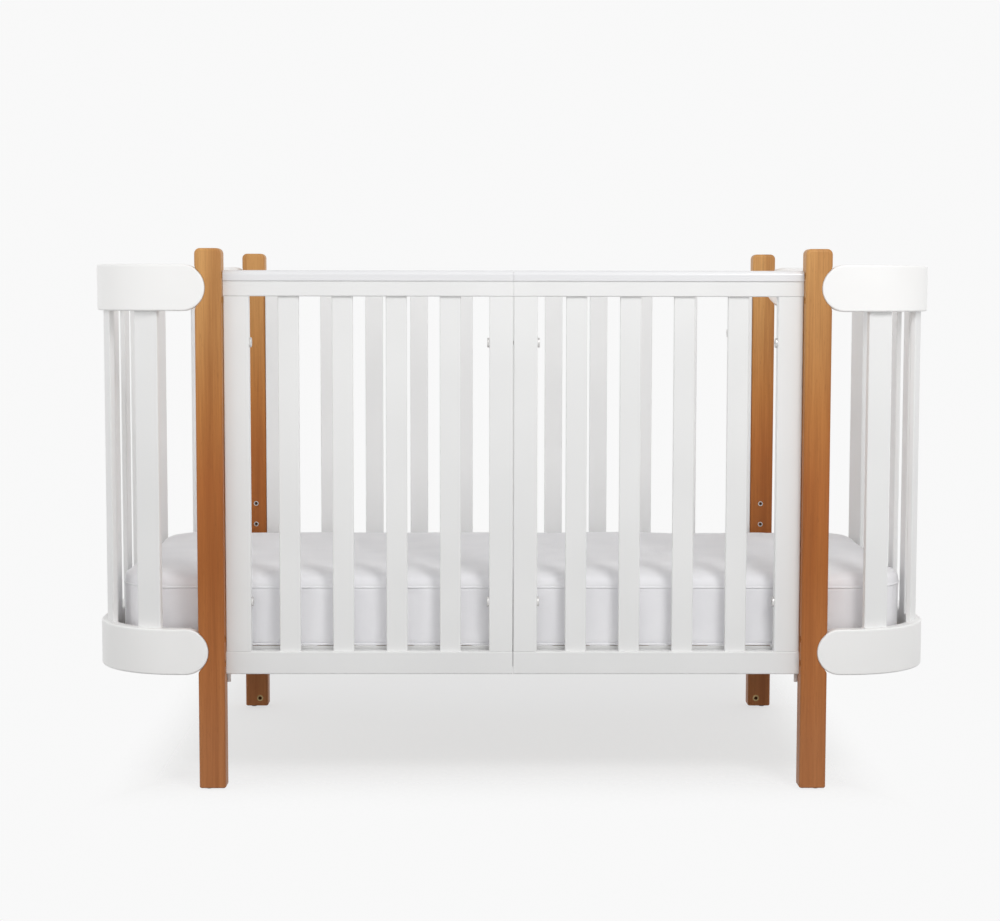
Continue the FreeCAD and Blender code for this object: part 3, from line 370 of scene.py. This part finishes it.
SEAM_PROUD, FOOT_PROUD = 0.0002, -0.0007    # how far the pipings' middles stand out of the skin
STITCH_DROP = 0.0055        # the row of stitches below the upper piping
STITCH_PROUD = 0.0001
SLAB_POINTS, SEAM_POINTS, STITCH_POINTS, HEM_POINTS = 240, 720, 1100, 600   # along a whole outline
JUST_OUTSIDE = 1.0001       # scales a point of the outline to one beside it
SEAM_DENT, SEAM_DENT_HIGH = 0.0004, 0.003   # how far the upper seam is drawn in, and over what height
HOLLOW_DEEP, HOLLOW_IN, HOLLOW_WIDE = 0.0016, 0.044, 0.020  # a hollow in the top, in from its edge
HEM = 0.070                 # turned in under the mattress
UNDERSIDE = 0.002           # faces lower than this above the base belong to the underside
HEM_CORNER = 0.03
HEM_CORD, HEM_HIGH = 0.0030, 0.0034     # the hem's radius, and its middle above the base
FOAM_INSET = 0.014          # of the core, inside the sides and below the top
FOAM_FOOT = 0.003           # of the core, above the base
FOAM_CORNER = 0.08
FOAM_FOOT_ROLL, FOAM_ROLL = 0.006, 0.012


class Outline:
    """A rectangle with round corners: places along it, and how any point lies to it."""

    def __init__(self, half_x, half_y, corner):
        self.flat_x, self.flat_y, self.corner = half_x - corner, half_y - corner, corner
        self.length = 4 * (self.flat_x + self.flat_y) + 2 * math.pi * corner

    def inside(self, inset, corner):
        """An outline inside this one, with corners of its own."""
        return Outline(self.flat_x + self.corner - inset, self.flat_y + self.corner - inset, corner)

    def measure(self, x, y):
        """Of each point: way along the outline, depth inside it, and the outward direction."""
        near_x = np.clip(x, -self.flat_x, self.flat_x)
        near_y = np.clip(y, -self.flat_y, self.flat_y)
        off_x, off_y = x - near_x, y - near_y
        reach = np.hypot(off_x, off_y)
        turn = np.mod(np.arctan2(off_y, off_x), 2 * math.pi)
        quarter = np.minimum((turn / (math.pi / 2)).astype(int), 3)
        a, b = self.flat_x, self.flat_y
        start = np.array([b, b + 2 * a, 3 * b + 2 * a, 3 * b + 4 * a])[quarter]
        shift = np.choose(quarter, [near_y - b, -near_x - a, -near_y - b, near_x - a])
        safe = np.maximum(reach, 1e-9)
        return start + shift + self.corner * turn, self.corner - reach, off_x / safe, off_y / safe

    def points(self, count):
        """Evenly spaced points, anticlockwise from the middle of the right-hand side."""
        a, b, quarter = self.flat_x, self.flat_y, self.corner * math.pi / 2
        runs = ((b, False), (quarter, True), (2 * a, False), (quarter, True), (2 * b, False),
                (quarter, True), (2 * a, False), (quarter, True), (b, False))
        found = []
        for n in range(count):
            left = n * self.length / count
            x, y, heading = a + self.corner, 0.0, math.pi / 2
            for run, bends in runs:
                step = min(left, run)
                if bends:
                    turned = heading + step / self.corner
                    x += self.corner * (math.sin(turned) - math.sin(heading))
                    y -= self.corner * (math.cos(turned) - math.cos(heading))
                    heading = turned
                else:
                    x, y = x + step * math.cos(heading), y + step * math.sin(heading)
                left -= step
                if left <= 0:
                    break
            found.append((x, y))
        return np.array(found)


def ripple(way, waves):
    """A sum of sine waves, each (length in metres, height, phase)."""
    return sum(high * np.sin(2 * math.pi * way / long + phase) for long, high, phase in waves)


def bell(value, middle, wide):
    """1 at the middle, falling to nothing on both sides."""
    return np.exp(-((value - middle) / wide) ** 2)


def ease(value, start, over):
    """0 up to a start, then rising to 1 over a distance."""
    return np.clip((value - start) / over, 0, 1)


def new_piece(name, rings, finish, closed=False):
    """A mesh lofted through rings of equally many points; closed joins the last ring to the first."""
    mesh = bpy.data.meshes.new(name)
    count = len(rings[0])
    faces = []
    for n in range(len(rings) if closed else len(rings) - 1):
        low, high = n * count, (n + 1) % len(rings) * count
        faces += [(low + k, low + (k + 1) % count, high + (k + 1) % count, high + k)
                  for k in range(count)]
    if not closed:
        last = (len(rings) - 1) * count
        faces += [tuple(reversed(range(count))), tuple(range(last, last + count))]
    mesh.from_pydata([tuple(point) for ring in rings for point in ring], [], faces)
    mesh.polygons.foreach_set("use_smooth", [True] * len(mesh.polygons))
    mesh.materials.append(finish)
    return link(name, mesh)


def make_slab(name, outline, low, high, foot_roll, side_roll, end_roll, roll_high, finish):
    """A closed slab on an outline, with rolled edges; the top's may be tighter at the crib's ends."""
    plan = outline.points(SLAB_POINTS)
    _, _, out_x, out_y = outline.measure(plan[:, 0] * JUST_OUTSIDE, plan[:, 1] * JUST_OUTSIDE)
    ends = ease(np.abs(plan[:, 0]), ENDS_FROM, ENDS_OVER)
    top_roll = side_roll + (end_roll - side_roll) * ends
    profile = [(foot_roll * (1 - math.sin(t)), low + foot_roll * (1 - math.cos(t)))
               for t in np.linspace(0, math.pi / 2, 5)]
    profile += [(top_roll * (1 - math.cos(t)), high - roll_high * (1 - math.sin(t)))
                for t in np.linspace(0, math.pi / 2, 8)]
    rings = [np.column_stack((plan[:, 0] - inset * out_x, plan[:, 1] - inset * out_y,
                              np.full(len(plan), z)))
             for inset, z in profile]
    return new_piece(name, rings, finish)


def make_tube(name, path, radius, finish, sides=8):
    """A round cord along a closed path."""
    ahead = np.roll(path, -1, axis=0) - np.roll(path, 1, axis=0)
    ahead /= np.linalg.norm(ahead, axis=1)[:, None]
    across = np.cross(ahead, (0, 0, 1))
    across /= np.linalg.norm(across, axis=1)[:, None]
    up = np.cross(across, ahead)
    turns = np.linspace(0, 2 * math.pi, sides, endpoint=False)
    rings = [p + radius * (np.outer(np.cos(turns), a) + np.outer(np.sin(turns), u))
             for p, a, u in zip(path, across, up)]
    return new_piece(name, rings, finish, closed=True)


def coordinates(mesh):
    """The places of a mesh's points, one row each."""
    found = np.empty(3 * len(mesh.vertices))
    mesh.vertices.foreach_get("co", found)
    return found.reshape(-1, 3)


def directions(mesh):
    """The normals at a mesh's points, one row each."""
    found = np.empty(3 * len(mesh.vertices))
    mesh.vertex_normals.foreach_get("vector", found)
    return found.reshape(-1, 3)


def apply_modifier(piece, kind, **settings):
    """Add a modifier with these settings, and apply it."""
    modifier = piece.modifiers.new(kind.lower(), kind)
    for field, value in settings.items():
        setattr(modifier, field, value)
    bpy.context.view_layer.objects.active = piece
    bpy.ops.object.modifier_apply(modifier=modifier.name)


def swell(piece, outline):
    """Blow the pad up as cloth, then let each point go no farther than SWELL from where it was."""
    scene = bpy.context.scene
    rest = coordinates(piece.data)
    cloth = piece.modifiers.new("cloth", "CLOTH")
    cloth.settings.use_pressure = True
    cloth.settings.uniform_pressure_force = CLOTH_PRESSURE
    cloth.settings.effector_weights.gravity = 0
    cloth.settings.quality = 4
    scene.frame_start, scene.frame_end = 1, CLOTH_FRAMES
    for number in range(1, CLOTH_FRAMES + 1):
        scene.frame_set(number)
    swollen = piece.evaluated_get(bpy.context.evaluated_depsgraph_get())
    move = coordinates(swollen.data) - rest
    piece.modifiers.remove(cloth)
    scene.frame_set(1)
    far = np.maximum(np.linalg.norm(move, axis=1), 1e-9)
    move *= (SWELL * np.tanh(far / SWELL) / far)[:, None]
    _, _, out_x, out_y = outline.measure(rest[:, 0], rest[:, 1])
    held = np.minimum(move[:, 0] * out_x + move[:, 1] * out_y + HOLD, 0)
    move[:, 0] -= held * out_x
    move[:, 1] -= held * out_y
    piece.data.vertices.foreach_set("co", (rest + move).ravel())
    piece.data.update()


def corner_ways(outline):
    """Ways along the outline of its four corners' middles."""
    a, b, half = outline.flat_x, outline.flat_y, outline.corner * math.pi / 4
    return (b + half, b + 3 * half + 2 * a, 3 * b + 5 * half + 2 * a, 3 * b + 7 * half + 4 * a)


def sew(piece, outline, low, high):
    """Draw in the upper seam, and lay soft folds on the sides and a shallow hollow round the top."""
    mesh = piece.data
    at, out = coordinates(mesh), directions(mesh)
    way, depth, _, _ = outline.measure(at[:, 0], at[:, 1])
    height = at[:, 2]
    seam, foot = high - SEAM_DROP, low + FOOT_SEAM
    wall = 1 / (1 + np.exp((depth - 0.012) / 0.003))        # 1 on the sides, 0 on the top
    between = ease(height, foot, 0.02) * np.clip((seam - height) / 0.012, 0, 1)
    corners = sum(bell(way % outline.length, middle, 0.075) for middle in corner_ways(outline))
    slant = way + 0.22 * (height - low) * np.sin(way * 7.0)
    folds = ripple(slant, ((0.173, 0.0008, 0.4), (0.097, 0.0007, 2.1), (0.061, 0.0005, 4.0),
                           (0.037, 0.0003, 1.2)))
    folds *= 0.55 + 0.45 * np.sin(way * 5.3 + 0.8)
    gathers = ripple(way, ((0.0165, 0.0007, 0.3), (0.0113, 0.0004, 1.7))) * corners
    lift = wall * between * (folds + gathers * (1 - 0.5 * between))
    lift -= wall * SEAM_DENT * bell(height, seam, SEAM_DENT_HIGH)
    top = ease(height, high - 0.010, 0.006)
    across = ripple(at[:, 0] + 0.35 * at[:, 1], ((0.41, 0.0006, 0.2), (0.23, 0.0004, 2.6),
                                                 (0.117, 0.0002, 5.0)))
    across *= np.cos(at[:, 1] * 9 + np.sin(at[:, 0] * 4))
    hollow = bell(depth, HOLLOW_IN + 0.005 * np.sin(way * 9), HOLLOW_WIDE)
    hollow *= HOLLOW_DEEP * (1 + 0.35 * np.sin(way * 23 + 1))
    lift += top * (across - hollow)
    at += out * lift[:, None]
    at[:, 2] = np.maximum(at[:, 2], low + LEAST_GAP)
    mesh.vertices.foreach_set("co", at.ravel())
    mesh.update()


def open_underneath(piece, outline, low):
    """Cut the opening inside the hem out of the underside."""
    shape = bmesh.new()
    shape.from_mesh(piece.data)
    gone = []
    for face in shape.faces:
        x, y, z = face.calc_center_median()
        if z < low + UNDERSIDE:
            depth = float(outline.measure(np.array([x]), np.array([y]))[1][0])
            if depth > HEM:
                gone.append(face)
    bmesh.ops.delete(shape, geom=gone, context="FACES")
    shape.to_mesh(piece.data)
    shape.free()


STITCH_SIDES = 5
STITCH_SHAPE = ((0.0, 0.0001), (0.2, 0.0005), (0.8, 0.0005), (1.0, 0.0001))     # part along, radius


def make_stitches(name, outline, path, finish):
    """A row of short stitches along a path: a small spindle from every other point to the next."""
    _, _, out_x, out_y = outline.measure(path[:, 0], path[:, 1])
    outwards = np.column_stack((out_x, out_y, np.zeros(len(path))))
    turns = np.linspace(0, 2 * math.pi, STITCH_SIDES, endpoint=False)[:, None, None]
    spokes = np.cos(turns) * outwards + np.sin(turns) * np.array((0, 0, 1))
    points, faces = [], []
    for n in range(0, len(path), 2):
        start, end = path[n], path[(n + 1) % len(path)]
        for ring, (part, thick) in enumerate(STITCH_SHAPE):
            first = len(points)
            middle = start + part * (end - start)
            points += [tuple(middle + thick * spokes[turn, n]) for turn in range(STITCH_SIDES)]
            if ring < len(STITCH_SHAPE) - 1:
                after = first + STITCH_SIDES
                faces += [(first + turn, first + (turn + 1) % STITCH_SIDES,
                           after + (turn + 1) % STITCH_SIDES, after + turn)
                          for turn in range(STITCH_SIDES)]
    mesh = bpy.data.meshes.new(name)
    mesh.from_pydata(points, [], faces)
    mesh.materials.append(finish)
    return link(name, mesh)


SEARCH = 0.05               # from how far outside the outline the skin is looked for


def seam_path(skin, outline, height, count, proud):
    """A closed path on the skin at a height, a little proud of it, or sunk in it if negative."""
    plan = outline.points(count)
    _, _, out_x, out_y = outline.measure(plan[:, 0], plan[:, 1])
    path = []
    for (x, y), a, b in zip(plan, out_x, out_y):
        out = Vector((a, b, 0))
        hit = skin.ray_cast(Vector((x, y, height)) + SEARCH * out, -out, 2 * SEARCH)[0]
        path.append(hit + proud * out)
    return np.array(path)


def make_mattress():
    """A padded cover sewn round a foam core, open inside its hem underneath."""
    (x0, y0, low), (x1, y1, high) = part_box("mattress_cover")
    outline = Outline((x1 - x0) / 2 - SMALLER, (y1 - y0) / 2 - SMALLER, CORNER - SMALLER)
    cotton, tape, foam = woven_cotton(), piping_tape(), open_foam()
    cover = make_slab("mattress_cover_cloth", outline, low, high - SMALLER,
                      FOOT_ROLL, TOP_ROLL, END_ROLL, ROLL_HIGH - SMALLER, cotton)
    apply_modifier(cover, "REMESH", mode="VOXEL", voxel_size=VOXEL, use_smooth_shade=True)
    swell(cover, outline)
    apply_modifier(cover, "SUBSURF", levels=1)
    sew(cover, outline, low, high)
    skin = BVHTree.FromObject(cover, bpy.context.evaluated_depsgraph_get())
    upper = seam_path(skin, outline, high - SEAM_DROP, SEAM_POINTS, SEAM_PROUD)
    lower = seam_path(skin, outline, low + FOOT_SEAM_FROM, SEAM_POINTS, FOOT_PROUD)
    lower[:, 2] = low + FOOT_SEAM
    stitched = seam_path(skin, outline, high - SEAM_DROP - STITCH_DROP, STITCH_POINTS, STITCH_PROUD)
    open_underneath(cover, outline, low)
    rim = outline.inside(HEM, HEM_CORNER).points(HEM_POINTS)
    hem_path = np.column_stack((rim, np.full(len(rim), low + HEM_HIGH)))
    trims = [make_tube("mattress_piping_upper", upper, SEAM_CORD, tape),
             make_tube("mattress_piping_lower", lower, FOOT_CORD, tape),
             make_stitches("mattress_stitches", outline, stitched, tape),
             make_tube("mattress_hem", hem_path, HEM_CORD, cotton)]
    core = make_slab("mattress_foam", outline.inside(FOAM_INSET, FOAM_CORNER), low + FOAM_FOOT,
                     high - FOAM_INSET, FOAM_FOOT_ROLL, FOAM_ROLL, FOAM_ROLL, FOAM_ROLL, foam)
    slots = [(cover, "cover_fabric"), (core, "foam"), *((trim, "cover_fabric") for trim in trims)]
    for piece, slot in slots:
        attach(piece, "mattress")
    for polygon in cover.data.polygons:
        polygon.use_smooth = True
    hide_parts("mattress_cover")
    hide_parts("mattress_core")


# ---------------------------------------------------------------- studio
FLOOR_RADIUS = 3
FLOOR_TONE = 0.30
FLOOR_GLOW_WITH_PAINTED_SHADE = (0.05, 0.55, 0.65, 0.60)   # added for the camera: from Y to Y, from strength to strength; weaker towards the back, as painted shade behind the crib
SHADOW_MIDDLE = -0.02       # X of the middle of the part of the floor that shows
SHADOW_SIDES = (0.48, 0.67)     # the floor fades between these distances from that middle,
SHADOW_FRONT = (-0.50, -0.12)   # between these places in Y towards the front
SHADOW_BACK = (0.7, 1.3)        # and between these towards the back
SKY_RISE = (0.25, 0.85)     # heights in the sky, 1 straight up, between which its light changes
SKY_SIDES, SKY_TOP = 1.18, 0.35     # its strength below and above them
BACKDROP = 0.945            # what the camera sees of the sky
LAMP_AIM = (0, 0, 0.45)


def shows_backdrop(tree):
    """1 for rays that should see the white of the studio: from the camera, off gloss, through glass."""
    path = tree.nodes.new("ShaderNodeLightPath")
    found = path.outputs["Is Camera Ray"]
    for kind in ("Is Glossy Ray", "Is Transmission Ray"):
        either = tree.nodes.new("ShaderNodeMath")
        either.operation = "MAXIMUM"
        tree.links.new(found, either.inputs[0])
        tree.links.new(path.outputs[kind], either.inputs[1])
        found = either.outputs[0]
    return found


def make_floor():
    """A pale floor with the crib's soft shadow, which fades into the backdrop round the crib; its glow
    is painted weaker behind the crib, as painted shade.
    """
    m = Nodes("studio_floor")
    tree = m.tree
    tree.nodes.remove(m.shader)
    diffuse = m.add("ShaderNodeBsdfDiffuse")
    diffuse.inputs["Color"].default_value = (FLOOR_TONE, FLOOR_TONE, FLOOR_TONE, 1)
    glow = m.add("ShaderNodeEmission")
    seen = shows_backdrop(tree)
    # Painted shade: the glow the camera sees is weaker towards the back, darkening the floor behind the
    # crib.
    m.plug(glow.inputs["Strength"], m.calc("MULTIPLY", seen, m.fit(m.axis("Y"), *FLOOR_GLOW_WITH_PAINTED_SHADE)))
    both = m.add("ShaderNodeAddShader")
    tree.links.new(diffuse.outputs[0], both.inputs[0])
    tree.links.new(glow.outputs[0], both.inputs[1])
    from_middle = m.calc("ABSOLUTE", m.calc("ADD", m.axis("X"), -SHADOW_MIDDLE))
    aside = m.fit(from_middle, *SHADOW_SIDES, 0.0, 1.0)
    ahead = m.fit(m.axis("Y"), *SHADOW_FRONT, 1.0, 0.0)
    behind = m.fit(m.axis("Y"), *SHADOW_BACK, 0.0, 1.0)
    away = m.calc("MAXIMUM", m.calc("MAXIMUM", aside, ahead), behind)
    fade = m.add("ShaderNodeMixShader")
    m.plug(fade.inputs[0], m.calc("MULTIPLY", away, seen))
    clear = m.add("ShaderNodeBsdfTransparent")
    tree.links.new(both.outputs[0], fade.inputs[1])
    tree.links.new(clear.outputs[0], fade.inputs[2])
    tree.links.new(fade.outputs[0], tree.nodes["Material Output"].inputs["Surface"])
    bpy.ops.mesh.primitive_circle_add(vertices=96, radius=FLOOR_RADIUS, fill_type="NGON",
                                      location=(0, 0, 0))
    floor = bpy.context.object
    floor.name = "floor"
    floor.data.materials.append(m.material)


def make_lamp(name, place, size, power):
    """A square area lamp that points at the crib's middle."""
    data = bpy.data.lights.new(name, "AREA")
    data.shape = "RECTANGLE"
    data.size = data.size_y = size
    data.energy = power
    lamp = link(name, data)
    lamp.location = place
    lamp.rotation_euler = (Vector(LAMP_AIM) - Vector(place)).to_track_quat("-Z", "Y").to_euler()


def make_world():
    """Pale light, stronger from the sides than from above, seen as an almost white backdrop."""
    world = bpy.data.worlds.new("studio")
    bpy.context.scene.world = world
    world.use_nodes = True
    tree = world.node_tree
    background = tree.nodes["Background"]
    background.inputs["Color"].default_value = (1, 1, 1, 1)
    parts = tree.nodes.new("ShaderNodeSeparateXYZ")
    tree.links.new(tree.nodes.new("ShaderNodeTexCoord").outputs["Generated"], parts.inputs[0])
    height = tree.nodes.new("ShaderNodeMapRange")
    height.interpolation_type = "SMOOTHSTEP"
    tree.links.new(parts.outputs["Z"], height.inputs["Value"])
    strength = tree.nodes.new("ShaderNodeMapRange")
    tree.links.new(shows_backdrop(tree), strength.inputs["Value"])
    tree.links.new(height.outputs["Result"], strength.inputs["To Min"])
    for node, socket, value in ((height, "From Min", SKY_RISE[0]), (height, "From Max", SKY_RISE[1]),
                                (height, "To Min", SKY_SIDES), (height, "To Max", SKY_TOP),
                                (strength, "To Max", BACKDROP)):
        node.inputs[socket].default_value = value
    tree.links.new(strength.outputs["Result"], background.inputs["Strength"])


def make_studio():
    make_floor()
    make_world()
    make_lamp("key", (1.17, -2.63, 2.62), size=0.9, power=35)
    make_lamp("left_fill", (-2.52, -1.77, 1.89), size=2, power=9)
    bpy.context.scene.view_settings.view_transform = "Standard"


make_camera()
dress_frame()
make_mattress()
make_studio()
